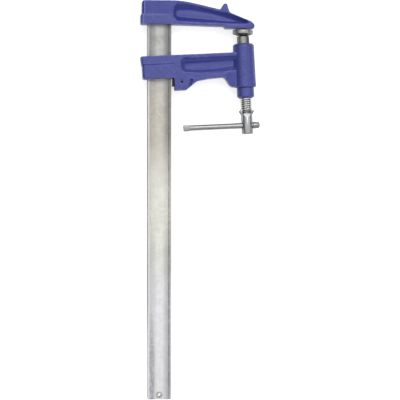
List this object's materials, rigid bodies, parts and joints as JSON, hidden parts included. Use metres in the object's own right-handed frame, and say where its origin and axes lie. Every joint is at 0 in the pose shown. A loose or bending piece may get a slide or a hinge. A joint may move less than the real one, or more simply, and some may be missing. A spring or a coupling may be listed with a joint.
{
  "type": "quick release bar clamp",
  "caption": "Bar clamp with a fixed cast jaw, a cast sliding arm that rocks to grip the bar, and a screw with tommy bar and swivel pad.",
  "frame": {"origin": "on the fixed jaw's anvil face, in line with the screw's pad", "axes": "+X down the bar, away from the anvil; +Y across the throat, from the bar to the screw; +Z square to the wide face of the bar, so the clamp lies on its side"},
  "size_m": [0.5803, 0.1751, 0.032],
  "materials": {
    "jaw_paint": "glossy violet-blue paint over a sand casting",
    "plated_bar": "mottled galvanised coat over rolled steel",
    "bright_zinc": "bright zinc plate over turned steel",
    "black_steel": "blackened steel",
    "spring_pin": "rolled spring steel",
    "spring_steel": "blued spring steel"
  },
  "bodies": {
    "frame_bar": {"bar": "plated_bar", "end_stop_pin": "spring_pin", "fixed_jaw": "jaw_paint"},
    "brake": {"brake_shoe": "black_steel"},
    "arm": {"sliding_arm": "jaw_paint", "brake_pin": "spring_pin", "brake_spring": "spring_steel", "spindle_nut": "jaw_paint"},
    "shank": {"pad_shank": "bright_zinc", "spindle_clip": "spring_steel"},
    "pad": {"swivel_pad": "bright_zinc"},
    "screw": {"spindle": "bright_zinc"},
    "tommy": {"tommy_bar": "bright_zinc", "tommy_cap": "bright_zinc"}
  },
  "joints": [
    {"name": "arm_slide", "type": "slide", "parent": "frame_bar", "child": "brake", "axis": [1, 0, 0], "range_m": [0, 0.452]},
    {"name": "arm_rock", "type": "hinge", "parent": "brake", "child": "arm", "pos_m": [0.0786, -0.0903, 0], "axis": [0, 0, 1], "range_deg": [-2.8, 0]},
    {"name": "spindle_feed", "type": "slide", "parent": "arm", "child": "shank", "axis": [0.9988, 0.0489, 0], "range_m": [0, 0.0093]},
    {"name": "spindle_turn", "type": "hinge", "parent": "shank", "child": "screw", "pos_m": [0.00751, -0.00006, 0], "axis": [0.9988, 0.0489, 0], "range_deg": [0, 1116]},
    {"name": "tommy_slide", "type": "slide", "parent": "screw", "child": "tommy", "axis": [-0.0489, 0.9988, 0], "range_m": [0, 0.076]},
    {"name": "pad_tilt", "type": "hinge", "parent": "shank", "child": "pad", "pos_m": [0.00751, -0.00006, 0], "axis": [0, 0, 1], "range_deg": [-4.5, 4.5]}
  ],
  "couplings": [
    {"joint": "spindle_feed", "follows": "spindle_turn", "m_per_rad": 0.00047746}
  ]
}
